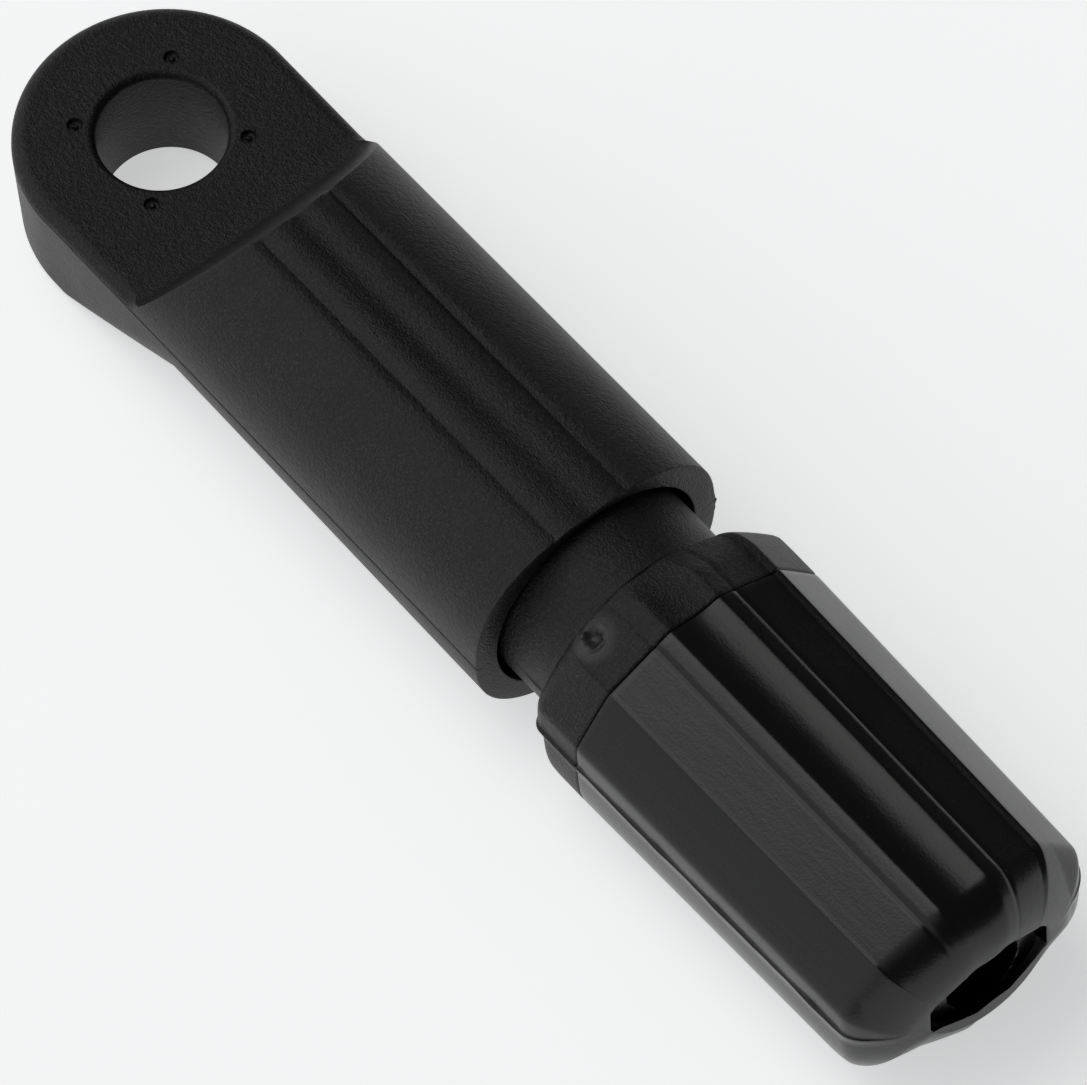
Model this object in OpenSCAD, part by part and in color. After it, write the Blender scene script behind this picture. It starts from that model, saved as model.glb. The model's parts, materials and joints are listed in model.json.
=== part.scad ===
// Cord lock with an eye: an eye body, a plug that slides in it, a grip moulded on the plug,
// and two wedge jaws that hold the cord inside the plug.
// +X runs from the eye to the cord end, +Z is up, and the origin is on the eye's axis
// where it crosses the moulding plane, which is also the height of the barrel's axis.

/* [Eye tab] */
// Diameter of the eye
eye_d = 5; // [4:0.1:6.2]
// Radius of the tab's round end and half its width
tab_r = 5.68; // [5.3:0.02:6.4]
// Height of the tab's top face above the moulding plane
tab_top = 0.45; // [0.2:0.05:1.2]
// Depth of the tab's underside below the moulding plane
tab_low = 4.8; // [3.8:0.1:4.9]
// Chamfer at both ends of the eye
eye_chamfer = 0.3; // [0.1:0.05:0.5]
// Rounding of the tab's top edge
tab_round = 0.4; // [0.1:0.05:0.45]
// Distance of the four dimples from the eye's axis
dimple_ring_r = 3.3; // [3.25:0.05:4]
// Diameter of a dimple
dimple_d = 0.62; // [0.4:0.02:0.9]
// Depth of a dimple
dimple_depth = 0.16; // [0.05:0.01:0.3]

/* [Barrel] */
// Distance from the eye's axis to the barrel's mouth
mouth_x = 25.7; // [24:0.1:32]
// Width of the barrel at its mouth
barrel_w = 11.4; // [11:0.1:13]
// Height of the barrel at its mouth
barrel_h = 10; // [9.9:0.1:12]
// Start of the ramp from the tab up to the barrel
ramp_x = 5.7; // [5:0.1:7]
// Run of the ramp for each millimetre that it rises
ramp_run = 0.62; // [0.4:0.02:1]
// Distance of the two top grooves from the middle
groove_y = 1.7; // [1:0.05:2.5]
// Depth of a groove
groove_depth = 0.13; // [0.05:0.01:0.2]
// Width of a groove
groove_w = 0.5; // [0.3:0.05:0.8]

/* [Socket] */
// Distance from the eye's axis to the socket's floor
floor_x = 12; // [9:0.1:13]
// Clearance between the stem and the socket's wide mouth
mouth_gap = 0.3; // [0.15:0.05:0.35]
// Length of the wide mouth
mouth_len = 3.3; // [2:0.1:5]
// Length of the stop ring that keeps the plug in
ring_len = 1; // [0.6:0.1:1.6]
// Radial running clearance of the plug in the socket
run_gap = 0.05; // [0.02:0.01:0.09]
// Height of the plug's head over the stop ring
catch = 0.1; // [0.05:0.01:0.14]
// Width of the two keys that stop the plug turning
key_w = 0.8; // [0.5:0.05:1.2]
// Length of the keys
key_len = 6; // [4:0.1:7]
// Clearance on each side of a key
key_gap = 0.05; // [0.03:0.01:0.15]

/* [Plug] */
// Diameter of the stem
stem_d = 8.8; // [8.2:0.05:8.9]
// Travel of the plug from its stop ring to the mouth
travel = 2.7; // [1.5:0.1:3.2]
// Space left between the mouth and the collar when the plug is home
home_gap = 0.05; // [0.03:0.01:0.2]
// Length of the stem past the stop ring
stem_tail = 6.4; // [5:0.1:6.6]
// Length of the head
head_len = 2; // [1:0.1:3]
// Depth of the slots that make the stem springy
slot_len = 7.5; // [6.5:0.1:9]
// Length of the collar
collar_len = 2.75; // [2:0.05:4]
// Diameter of the spigot inside the grip
spigot_d = 6.8; // [6:0.1:7.4]
// Length of the spigot
spigot_len = 13.5; // [10:0.1:13.8]
// Height of the two ribs that lock the grip on the spigot
rib_h = 0.6; // [0.3:0.05:0.7]
// Width of a rib
rib_w = 1.2; // [0.8:0.1:2]

/* [Grip] */
// Width of the grip at the collar
grip_w = 11.5; // [11:0.1:12.5]
// Height of the grip at the collar
grip_h = 9.5; // [9.4:0.1:12]
// Length of the grip
grip_len = 16.85; // [16:0.05:22]
// How much narrower the grip is on each side at its end
grip_draft = 0.25; // [0:0.05:0.4]
// Rounding of the grip's end
end_round = 1.8; // [0.8:0.1:2]
// Half width of the channel along the middle of the top and the bottom
channel_y = 1.13; // [0.7:0.01:1.4]
// Depth of the channel
channel_cut = 0.17; // [0.05:0.01:0.3]
// Fall of the two facets beside the channel, for each millimetre across
facet_slope = 0.45; // [0:0.01:0.5]
// Width of the pocket in the end face
pocket_w = 5.3; // [4.6:0.1:6.4]
// Height of the pocket
pocket_h = 3.4; // [3:0.1:4.4]
// Depth of the pocket
pocket_depth = 0.5; // [0.2:0.05:0.8]
// Diameter of the cord hole
cord_hole_d = 3.4; // [2.6:0.1:4]

/* [Jaws] */
// Wide diameter of the plug's taper
taper_wide_d = 7; // [6.6:0.1:7.2]
// Narrow diameter of the plug's taper
taper_narrow_d = 4.6; // [4.4:0.1:5]
// Length of the taper
taper_len = 11; // [10:0.1:12]
// Length of a jaw
jaw_len = 8.6; // [6:0.1:8.8]
// Distance of the jaws from the stem's open end
jaw_inset = 1.6; // [1.2:0.1:2]
// Clearance between the jaws and the taper
jaw_gap = 0.06; // [0.03:0.01:0.1]
// Gap between the two jaws
split_gap = 0.3; // [0.2:0.02:0.6]
// Diameter of the cord channel between the jaws
channel_d = 2.8; // [2:0.1:3.2]
// Depth of a tooth
tooth_depth = 0.3; // [0.1:0.05:0.4]
// Number of teeth in a jaw
teeth = 7; // [4:1:8]

/* [Hidden] */
$fn = 96;
eps = 0.01;
// How much wider the plug's bore is than the cord hole
bore_room = 0.4;
// Room between the keys and the widest part of the taper
key_room = 0.2;
ring_points = 120;
// Places along X
collar_x = mouth_x + home_gap + travel;
grip_x = collar_x + collar_len;
end_x = grip_x + grip_len;
ring_x = mouth_x - mouth_len - ring_len;
head_gap = 0.1;
head_x = ring_x - head_gap;
stem_x = ring_x - stem_tail;
taper_x = stem_x;
jaw_x = stem_x + jaw_inset;
blend_x = ramp_x + 1;
// Radii
stem_r = stem_d / 2;
ring_r = stem_r + run_gap;
head_r = ring_r + catch;
chamber_r = head_r + run_gap;
mouth_r = stem_r + mouth_gap;
taper_slope = (taper_wide_d - taper_narrow_d) / 2 / taper_len;
// The section is a superellipse: these are its exponents
barrel_taper = 0.97;
barrel_round_eye = 2.05;
barrel_round_mouth = 2.45;
grip_round = 2.5;

function dip(y, at, w) = exp(-pow((abs(y) - at) / w, 2));
function groove_z(y, depth, at, w) = depth * dip(y, at, w);
function channel_z(y, depth) = depth * max(0, 1 - pow(y / channel_y, 2));
function facet_z(y, slope) = slope * max(0, abs(y) - channel_y);

// One ring of points round the X axis: half width a, half height b, exponent p.
// depth is how deep the two grooves are. press is how far the channel and facets are pressed in, 0 to 1.
function ring(x, a, b, p, depth = 0, press = 0) = [
    for (i = [0:ring_points - 1])
        let (t = 360 * i / ring_points)
        let (r = pow(pow(abs(cos(t)) / a, p) + pow(abs(sin(t)) / b, p), -1 / p))
        let (y = r * cos(t))
        let (z = r * sin(t))
        let (fade = pow(abs(sin(t)), 0.5))
        let (cut = groove_z(y, depth, groove_y, groove_w / 2) + channel_z(y, channel_cut * press))
        let (ceiling = b - facet_z(y, facet_slope * press))
        [x, y, sign(z) * (min(abs(z), ceiling) - cut * fade)]
];

// A closed skin over rings that follow each other along +X, with a fan of triangles at each end.
module loft(rings) {
    n = ring_points;
    last = len(rings) - 1;
    centres = [[rings[0][0][0], 0, 0], [rings[last][0][0], 0, 0]];
    points = concat([for (r = rings) each r], centres);
    sides = [
        for (k = [0:last - 1])
            for (i = [0:n - 1])
                let (a = k * n + i)
                let (b = k * n + (i + 1) % n)
                each [[b, a, b + n], [b + n, a, a + n]]
    ];
    first_fan = [for (i = [0:n - 1]) [i, (i + 1) % n, (last + 1) * n]];
    last_fan = [for (i = [0:n - 1]) [last * n + (i + 1) % n, last * n + i, (last + 1) * n + 1]];
    polyhedron(points = points, faces = concat(sides, first_fan, last_fan), convexity = 4);
}

module along_x(x) {
    translate([x, 0, 0]) rotate([0, 90, 0]) children();
}

// Outside of the barrel from x0 to the mouth.
module barrel_skin(x0) {
    steps = 6;
    loft([
        for (k = [0:steps])
            let (u = k / steps)
            let (x = x0 + (mouth_x - x0) * u)
            let (b = barrel_h / 2 * (barrel_taper + (1 - barrel_taper) * u))
            let (p = barrel_round_eye + (barrel_round_mouth - barrel_round_eye) * u)
            ring(x, barrel_w / 2, b, p, groove_depth * (1 - 0.5 * u * u))
    ]);
}

// The tab's disc, drawn into the barrel's first section, so its lower edge climbs to the barrel.
module tab_block() {
    sink = 0.02;
    low_round = 0.25;
    low_rise = 0.35;
    low_draft = 0.08;
    b = barrel_h / 2 * barrel_taper;
    hull() {
        translate([0, 0, -tab_low]) cylinder(r = tab_r - low_round, h = 0.1);
        translate([0, 0, -tab_low + low_rise]) cylinder(r = tab_r - low_draft, h = tab_low - low_rise);
        translate([0, 0, -eps]) cylinder(r = tab_r, h = 2 * eps);
        translate([0, 0, tab_top - tab_round / 2]) cylinder(r = tab_r - tab_round / 3, h = eps);
        translate([0, 0, tab_top - eps]) cylinder(r = tab_r - tab_round, h = eps);
        loft([for (x = [0.1, 0.3]) ring(blend_x + x, barrel_w / 2 - sink, b - sink, barrel_round_eye)]);
    }
}

// Everything above the tab's top face on the eye's side of the ramp.
module ramp_cut() {
    rise = barrel_h;
    foot_run = 0.3;
    foot_rise = 0.22;
    translate([0, barrel_w, 0]) rotate([90, 0, 0]) linear_extrude(height = 2 * barrel_w) polygon([
        [-2 * tab_r, tab_top],
        [ramp_x - foot_run, tab_top],
        [ramp_x + ramp_run * foot_rise, tab_top + foot_rise],
        [ramp_x + ramp_run * rise, tab_top + rise],
        [-2 * tab_r, tab_top + rise]
    ]);
}

module eye_hole() {
    translate([0, 0, -tab_low - 1]) cylinder(d = eye_d, h = tab_low + tab_top + 2);
    translate([0, 0, tab_top - eye_chamfer])
        cylinder(r1 = eye_d / 2, r2 = eye_d / 2 + eye_chamfer + 1, h = eye_chamfer + 1);
    translate([0, 0, -tab_low - 1])
        cylinder(r1 = eye_d / 2 + eye_chamfer + 1, r2 = eye_d / 2, h = eye_chamfer + 1);
}

module dimples() {
    for (a = [45:90:315]) rotate([0, 0, a]) translate([dimple_ring_r, 0, tab_top - dimple_depth])
        difference() {
            cylinder(d = dimple_d, h = 1, $fn = 24);
            translate([0, 0, -eps]) cylinder(d = dimple_d / 3, h = dimple_depth * 0.7, $fn = 16);
        }
}

module socket() {
    along_x(floor_x) cylinder(r = chamber_r, h = ring_x - floor_x);
    along_x(ring_x - eps) cylinder(r = ring_r, h = ring_len + 2 * eps);
    along_x(ring_x + ring_len) cylinder(r = mouth_r, h = mouth_len + 1);
}

// Two ribs on the socket's wall that run in the stem's slots.
module keys() {
    key_in = taper_wide_d / 2 + key_room;
    for (s = [-1, 1]) translate([floor_x - eps, s * (chamber_r + key_in) / 2, 0])
        translate([0, -(chamber_r - key_in) / 2 - 0.05, -key_w / 2])
            cube([key_len, chamber_r - key_in + 0.1, key_w]);
}

module eye_body() {
    color("#1b1b1d") {
        difference() {
            union() {
                barrel_skin(blend_x);
                tab_block();
            }
            ramp_cut();
            eye_hole();
            dimples();
            difference() {
                socket();
                keys();
            }
        }
    }
}

// The collar grows from just outside the stem to the grip's own section.
module collar() {
    steps = 6;
    round_len = 1.4;
    start_a = stem_r + 0.15;
    start_b = stem_r + 0.2;
    rings = [
        for (k = [0:steps])
            let (u = k / steps)
            let (w = sqrt(1 - pow(1 - u, 2)))
            let (a = start_a + (grip_w / 2 - start_a) * w)
            let (b = start_b + (grip_h / 2 - start_b) * w)
            ring(collar_x + round_len * u, a, b, 2 + (grip_round - 2) * w, 0, u)
    ];
    last = [ring(grip_x, grip_w / 2, grip_h / 2, grip_round, 0, 1)];
    loft(concat(rings, last));
}

module rib(x, grow) {
    along_x(x - grow) cylinder(r = spigot_d / 2 + rib_h + grow, h = rib_w + 2 * grow);
}

module spigot(grow) {
    along_x(grip_x - 0.5) cylinder(r = spigot_d / 2 + grow, h = spigot_len + 0.5 + grow);
    for (k = [1, 2]) rib(grip_x + k * spigot_len / 3 - rib_w / 2, grow);
}

module plug() {
    color("#202022") difference() {
        union() {
            along_x(stem_x) cylinder(r = stem_r, h = collar_x - stem_x + 1);
            along_x(head_x - head_len) cylinder(r = head_r, h = head_len);
            collar();
            spigot(0);
        }
        along_x(taper_x - eps) cylinder(d1 = taper_wide_d, d2 = taper_narrow_d, h = taper_len);
        along_x(taper_x - 1) cylinder(d = cord_hole_d + bore_room, h = end_x);
        for (a = [0, 90]) rotate([a, 0, 0])
            translate([stem_x - 1, -stem_d, -key_w / 2 - key_gap])
                cube([slot_len + 1, 2 * stem_d, key_w + 2 * key_gap]);
    }
}

module grip_skin() {
    arcs = 6;
    ends = [
        for (k = [0:arcs])
            let (t = 90 * k / arcs)
            let (inset = end_round * (1 - cos(t)) + grip_draft)
            let (fade = 1 - k / arcs)
            ring(end_x - end_round + end_round * sin(t), grip_w / 2 - inset, grip_h / 2 - inset,
                grip_round, 0, fade)
    ];
    start = [ring(grip_x + eps, grip_w / 2, grip_h / 2, grip_round, 0, 1)];
    loft(concat(start, ends));
}

module pocket() {
    r = pocket_h / 2;
    along_x(end_x - pocket_depth) linear_extrude(height = 1)
        hull() for (s = [-1, 1]) translate([0, s * (pocket_w / 2 - r)]) circle(r = r, $fn = 40);
}

module grip() {
    color("#161617") difference() {
        grip_skin();
        spigot(0.02);
        pocket();
        along_x(grip_x) cylinder(d = cord_hole_d, h = grip_len + 1);
    }
}

// Half a toothed cone that fits the plug's taper.
module jaw() {
    r0 = taper_wide_d / 2 - jaw_gap - taper_slope * jaw_inset;
    r1 = r0 - taper_slope * jaw_len;
    pitch = jaw_len / teeth;
    difference() {
        along_x(jaw_x) cylinder(r1 = r0, r2 = r1, h = jaw_len);
        translate([jaw_x - 1, -stem_d, split_gap / 2 - stem_d]) cube([jaw_len + 2, 2 * stem_d, stem_d]);
        along_x(jaw_x - 1) cylinder(d = channel_d - 2 * tooth_depth, h = jaw_len + 2);
        for (k = [0:teeth - 1])
            along_x(jaw_x + k * pitch - eps)
                cylinder(d1 = channel_d, d2 = channel_d - 2 * tooth_depth, h = pitch);
    }
}

module upper_jaw() {
    color("#4a4a4e") jaw();
}

module lower_jaw() {
    color("#55555a") mirror([0, 0, 1]) jaw();
}

eye_body();
plug();
grip();
upper_jaw();
lower_jaw();
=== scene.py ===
"""A cord lock with an eye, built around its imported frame: the eye body, the plug, the grip and two jaws."""
import json
import math

import bmesh
import bpy
import numpy as np
from bpy.props import FloatProperty, FloatVectorProperty, PointerProperty
from mathutils import Matrix, Vector


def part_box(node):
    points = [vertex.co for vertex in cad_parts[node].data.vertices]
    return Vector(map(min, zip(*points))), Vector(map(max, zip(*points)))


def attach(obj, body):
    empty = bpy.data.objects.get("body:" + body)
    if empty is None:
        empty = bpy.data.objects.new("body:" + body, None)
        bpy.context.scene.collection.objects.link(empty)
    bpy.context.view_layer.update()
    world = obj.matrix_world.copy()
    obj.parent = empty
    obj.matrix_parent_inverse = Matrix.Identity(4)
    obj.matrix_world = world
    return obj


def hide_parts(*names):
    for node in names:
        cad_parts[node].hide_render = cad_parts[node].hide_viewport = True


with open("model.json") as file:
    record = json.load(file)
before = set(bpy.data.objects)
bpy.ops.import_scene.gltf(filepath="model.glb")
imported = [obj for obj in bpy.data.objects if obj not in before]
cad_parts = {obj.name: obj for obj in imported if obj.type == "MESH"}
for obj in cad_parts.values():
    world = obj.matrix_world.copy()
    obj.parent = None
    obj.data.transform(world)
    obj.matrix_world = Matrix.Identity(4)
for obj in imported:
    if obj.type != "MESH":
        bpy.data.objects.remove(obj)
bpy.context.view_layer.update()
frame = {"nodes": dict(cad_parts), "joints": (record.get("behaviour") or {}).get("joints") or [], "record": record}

bl_info = {
    "name": "Cord lock with an eye",
    "version": (1, 0, 0),
    "blender": (4, 5, 0),
    "location": "View3D > Sidebar > Cord lock",
    "description": "Builds the moulded shells, finishes and stage of a two-part cord lock",
    "category": "Add Mesh",
}

MM = 0.001
CREASE_DEGREES = 32


# Sizes taken from the frame

def node_box(node):
    """Lowest and highest corner of a CAD node, in millimetres."""
    low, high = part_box(node)
    return np.array(low) / MM, np.array(high) / MM


def mount_radius(name):
    """Radius of a bore mount in millimetres."""
    found = next(m for m in frame["record"]["mounts"] if m["name"] == name)
    return found["dims"]["r_mm"]


EYE_LOW, EYE_HIGH = node_box("eye_body")
PLUG_LOW, PLUG_HIGH = node_box("plug")
GRIP_LOW, GRIP_HIGH = node_box("grip")
EYE_R = mount_radius("eye")
CORD_R = mount_radius("cord_hole")
TRAVEL = abs(frame["joints"][0]["range_m"][0]) / MM
TAB_R = -EYE_LOW[0]
MOUTH_X = EYE_HIGH[0]
BARREL_B = EYE_HIGH[2]
STEM_X = PLUG_LOW[0]
GRIP_X = GRIP_LOW[0]
END_X = GRIP_HIGH[0]


# Small shape functions

def smooth_step(value, low, high):
    """0 below low, 1 above high, and a smooth S between them."""
    t = np.clip((value - low) / (high - low), 0, 1)
    return t * t * (3 - 2 * t)


def smooth_min(a, b, blend):
    """The lower of two heights, with their crease rounded over about blend."""
    return 0.5 * (a + b - np.sqrt((a - b) ** 2 + blend**2))


def smooth_max(a, b, blend):
    """The higher of two heights, with their crease rounded over about blend."""
    return 0.5 * (a + b + np.sqrt((a - b) ** 2 + blend**2))


def bell(value, width):
    """A Gaussian bell of height 1 about 0."""
    return np.exp(-((value / width) ** 2))


def dome(y, half_width, height, power):
    """Height of a superellipse of the given half width and height above y."""
    share = np.clip(np.abs(y) / half_width, 0, 1)
    return height * (1 - share**power) ** (1 / power)


def ripple(*arrays, seed=0.0):
    """A repeatable uneven wave between about -1 and 1: four sines of the arrays at unlike rates."""
    rates = (1.0, 1.73, 2.91, 4.37)
    total = 0
    for k, rate in enumerate(rates):
        phase = seed + 1.9 * k
        total = total + np.sin(sum(a * rate * (1 + 0.13 * n) for n, a in enumerate(arrays)) + phase) / (1 + k)
    return total / 2.08


# Meshes

TURN_WEIGHT = 0.5
LINE_WEIGHT = 5.0


def spaced(path, count):
    """Each row of a dense path of (y, z), resampled to count points. Their spacing follows the path's
    length, plus TURN_WEIGHT for each radian that it turns, and is closer near z = 0."""
    step = np.diff(path, axis=1)
    length = np.linalg.norm(step, axis=2)
    heading = np.unwrap(np.arctan2(step[..., 1], step[..., 0]), axis=1)
    turn = np.abs(np.diff(heading, axis=1, prepend=heading[:, :1]))
    middle = 0.5 * (path[:, 1:, 1] + path[:, :-1, 1])
    weight = length * (1 + LINE_WEIGHT * bell(middle, 0.14)) + TURN_WEIGHT * turn
    along = np.concatenate([np.zeros((len(path), 1)), np.cumsum(weight, axis=1)], axis=1)
    wanted = np.linspace(0, 1, count)
    rows = [
        np.stack([np.interp(wanted, a / a[-1], p[:, 0]), np.interp(wanted, a / a[-1], p[:, 1])], axis=-1)
        for a, p in zip(along, path)
    ]
    return np.array(rows)


def rows_at(x, loops):
    """Puts closed loops of (y, z) at their places along X: one grid of points."""
    x = np.broadcast_to(np.asarray(x, float).reshape(len(loops), -1), loops.shape[:2])
    return np.concatenate([x[..., None], loops], axis=2)


def circle_rows(x, radius, angles):
    """Rings of the given radii round the X axis, one for each place in x."""
    radius = np.asarray(radius, float).reshape(-1, 1)
    loops = np.stack([radius * np.cos(angles), radius * np.sin(angles)], axis=-1)
    return rows_at(x, loops)


def grid_mesh(name, points, ring=False):
    """A closed skin over a grid of points in millimetres: columns run round, and rows either meet end to
    end (ring) or finish in a fan of triangles about the middle of the first and the last row."""
    rows, columns = points.shape[:2]
    flat = points.reshape(-1, 3)
    row = np.arange(rows if ring else rows - 1)[:, None]
    column = np.arange(columns)[None, :]
    following = (column + 1) % columns
    above = (row + 1) % rows
    corners = [row * columns + column, above * columns + column, above * columns + following,
               row * columns + following]
    quads = np.stack([np.broadcast_to(c, (len(row), columns)) for c in corners], axis=-1).reshape(-1, 4)
    faces = [quads]
    if not ring:
        ends = np.stack([points[0].mean(axis=0), points[-1].mean(axis=0)])
        flat = np.concatenate([flat, ends])
        around, after = column[0], following[0]
        tip = np.full(columns, rows * columns)
        top = (rows - 1) * columns
        faces.append(np.stack([tip, around, after], axis=-1))
        faces.append(np.stack([tip + 1, top + after, top + around], axis=-1))
    mesh = bpy.data.meshes.new(name)
    loops = np.concatenate([f.ravel() for f in faces])
    sizes = np.concatenate([np.full(len(f), f.shape[1]) for f in faces])
    mesh.vertices.add(len(flat))
    mesh.vertices.foreach_set("co", (flat * MM).astype(np.float32).ravel())
    mesh.loops.add(len(loops))
    mesh.loops.foreach_set("vertex_index", loops.astype(np.int32))
    mesh.polygons.add(len(sizes))
    starts = np.concatenate([[0], np.cumsum(sizes)[:-1]])
    mesh.polygons.foreach_set("loop_start", starts.astype(np.int32))
    mesh.update(calc_edges=True)
    mesh.validate()
    return mesh


def face_outwards(mesh):
    """Turns every face outwards, with the same winding all over."""
    work = bmesh.new()
    work.from_mesh(mesh)
    bmesh.ops.remove_doubles(work, verts=work.verts, dist=0.0005 * MM)
    bmesh.ops.recalc_face_normals(work, faces=work.faces)
    work.to_mesh(mesh)
    work.free()


def lathe(profile, centre, segments):
    """The grid of a closed solid of revolution: a profile of (radius, height) turned about Z at centre."""
    profile = np.array(profile, float)
    turn = np.linspace(0, 2 * np.pi, segments, endpoint=False)
    radius, height = profile[:, :1], profile[:, 1:]
    first, second = radius * np.cos(turn), radius * np.sin(turn)
    third = np.broadcast_to(height, first.shape)
    return np.stack((first, second, third), axis=-1) + np.array(centre, float)


def new_object(name, mesh):
    """An object for a mesh, linked to the scene, with its origin at the frame's origin."""
    thing = bpy.data.objects.new(name, mesh)
    bpy.context.scene.collection.objects.link(thing)
    return thing


def cut_away(thing, cutters):
    """Takes closed cutter grids out of a piece, and applies the cut to its mesh."""
    tools = []
    for k, points in enumerate(cutters):
        mesh = grid_mesh(f"{thing.name}_cutter_{k}", points)
        face_outwards(mesh)
        tools.append(new_object(mesh.name, mesh))
        cut = thing.modifiers.new(f"cut_{k}", "BOOLEAN")
        cut.operation, cut.solver, cut.object = "DIFFERENCE", "EXACT", tools[-1]
    graph = bpy.context.evaluated_depsgraph_get()
    mesh = bpy.data.meshes.new_from_object(thing.evaluated_get(graph), depsgraph=graph)
    thing.modifiers.clear()
    thing.data = mesh
    for tool in tools:
        bpy.data.objects.remove(tool)


def finish_piece(thing, body, material, nodes):
    """Shades a piece smooth apart from its creases, gives it its finish and puts it on its CAD body."""
    mesh = thing.data
    mesh.polygons.foreach_set("use_smooth", np.ones(len(mesh.polygons), bool))
    mesh.set_sharp_from_angle(angle=math.radians(CREASE_DEGREES))
    mesh.materials.clear()
    mesh.materials.append(material)
    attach(thing, body)
    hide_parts(*nodes)


# Shader maths

class Wire:
    """A shader socket that takes part in Python sums: each operator adds one Math node."""

    def __init__(self, tree, socket):
        self.tree = tree
        self.socket = socket

    def __add__(self, other):
        return self.tree.maths("ADD", self, other)

    def __radd__(self, other):
        return self.tree.maths("ADD", other, self)

    def __sub__(self, other):
        return self.tree.maths("SUBTRACT", self, other)

    def __rsub__(self, other):
        return self.tree.maths("SUBTRACT", other, self)

    def __mul__(self, other):
        return self.tree.maths("MULTIPLY", self, other)

    def __rmul__(self, other):
        return self.tree.maths("MULTIPLY", other, self)

class ShaderTree:
    """The nodes of one material or world."""

    def __init__(self, owner):
        owner.use_nodes = True
        self.nodes = owner.node_tree.nodes
        self.links = owner.node_tree.links
        self.nodes.clear()

    def add(self, kind, settings=None, inputs=None, output=0):
        """One node: its settings first, then the values or wires of its sockets."""
        node = self.nodes.new(kind)
        for key, value in (settings or {}).items():
            setattr(node, key, value)
        for key, value in (inputs or {}).items():
            if isinstance(value, Wire):
                self.links.new(value.socket, node.inputs[key])
            else:
                node.inputs[key].default_value = value
        return Wire(self, node.outputs[output]) if len(node.outputs) else node

    def maths(self, operation, first, second=0.0):
        return self.add("ShaderNodeMath", {"operation": operation}, {0: first, 1: second})

    def object_place(self, centre=(0, 0, 0), scale=(1, 1, 1)):
        """Object coordinates measured from centre and stretched by scale."""
        place = self.add("ShaderNodeTexCoord", output="Object")
        shifted = self.add("ShaderNodeVectorMath", {"operation": "SUBTRACT"}, {0: place, 1: centre})
        return self.add("ShaderNodeVectorMath", {"operation": "MULTIPLY"}, {0: shifted, 1: scale})

    def noise(self, place, size, detail=2.0, roughness=0.5, distortion=0.0):
        """Noise from 0 to 1 whose features are about size metres across."""
        return self.add(
            "ShaderNodeTexNoise", {"noise_dimensions": "3D"},
            {"Vector": place, "Scale": 1 / size, "Detail": detail, "Roughness": roughness,
             "Distortion": distortion})

    def spots(self, place, size, radius):
        """1 in small round spots, one in each cell of the given size, and 0 between them."""
        near = self.add("ShaderNodeTexVoronoi", {"feature": "F1"}, {"Vector": place, "Scale": 1 / size})
        return self.fade(near, radius, radius * 0.4)

    def fade(self, value, low, high):
        """0 to 1 as value goes from low to high, smoothly and clamped."""
        return self.add(
            "ShaderNodeMapRange", {"interpolation_type": "SMOOTHSTEP"},
            {"Value": value, "From Min": low, "From Max": high, "To Min": 0.0, "To Max": 1.0})

    def near_point(self, point, inner, outer):
        """1 within inner metres of a point in the frame, and 0 beyond outer."""
        place = self.add("ShaderNodeTexCoord", output="Object")
        away = self.add(
            "ShaderNodeVectorMath", {"operation": "DISTANCE"}, {0: place, 1: point}, output="Value")
        return self.fade(away, outer, inner)

    def mix(self, share, first, second):
        """A colour between two colours."""
        return self.add(
            "ShaderNodeMix", {"data_type": "RGBA"}, {0: share, 6: first, 7: second}, output=2)

    def bump(self, height, depth):
        """A normal that stands for relief of the given depth in metres."""
        return self.add("ShaderNodeBump", {}, {"Height": height, "Distance": depth, "Strength": 1.0})

    def surface(self, colour, roughness, normal, ior=1.44):
        """The principled shader and the output."""
        shader = self.add(
            "ShaderNodeBsdfPrincipled", {},
            {"Base Color": colour, "Roughness": roughness, "Normal": normal, "IOR": ior})
        self.add("ShaderNodeOutputMaterial", {}, {"Surface": shader})


def rgba(colour, gain=1.0):
    """A colour property as a socket's four numbers."""
    return tuple(c * gain for c in colour) + (1.0,)


def grained_black(name, finish, gate=None):
    """Black plastic from a spark-eroded mould: fine pits, slow changes of colour, a few pale specks, and a painted
    highlight of pale warm colour on the grain's raised tips.
    """
    material = bpy.data.materials.new(name)
    tree = ShaderTree(material)
    place = tree.object_place()
    size = finish.grain_size
    grain = tree.noise(place, size, detail=2.5, roughness=0.62)
    coarse = tree.noise(place, size * 2.6, detail=1.5)
    cloud = tree.noise(place, 2.4 * MM, detail=3.0, roughness=0.6)
    speck = tree.spots(place, 1.7 * MM, 0.028) * tree.fade(cloud, 0.5, 0.62)
    height = grain + coarse * 0.7
    roughness = finish.grain_roughness + (cloud - 0.5) * 0.12 + (grain - 0.5) * 0.1
    # Painted highlight: the raised tips of the grain get a pale warm colour that stands in for the glints they
    # catch from the softbox.
    pale = tree.fade(grain, 0.47, 0.68)
    colour = tree.mix(pale, rgba(finish.grain_colour), rgba(finish.grain_glint_colour))
    colour = tree.mix(cloud * 0.4, colour, rgba(finish.grain_colour, 0.55))
    colour = tree.mix(speck * 0.7, colour, rgba(finish.speck_colour))
    depth = finish.grain_depth
    if gate is not None:
        polished = tree.near_point(tuple(v * MM for v in gate), 0.55 * MM, 1.15 * MM)
        height = height * (1 - polished * 0.8)
        roughness = roughness - polished * 0.12
        colour = tree.mix(polished * 0.75, colour, rgba(finish.gate_colour))
    tree.surface(colour, roughness, tree.bump(height, depth), ior=1.4)
    return material


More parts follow.
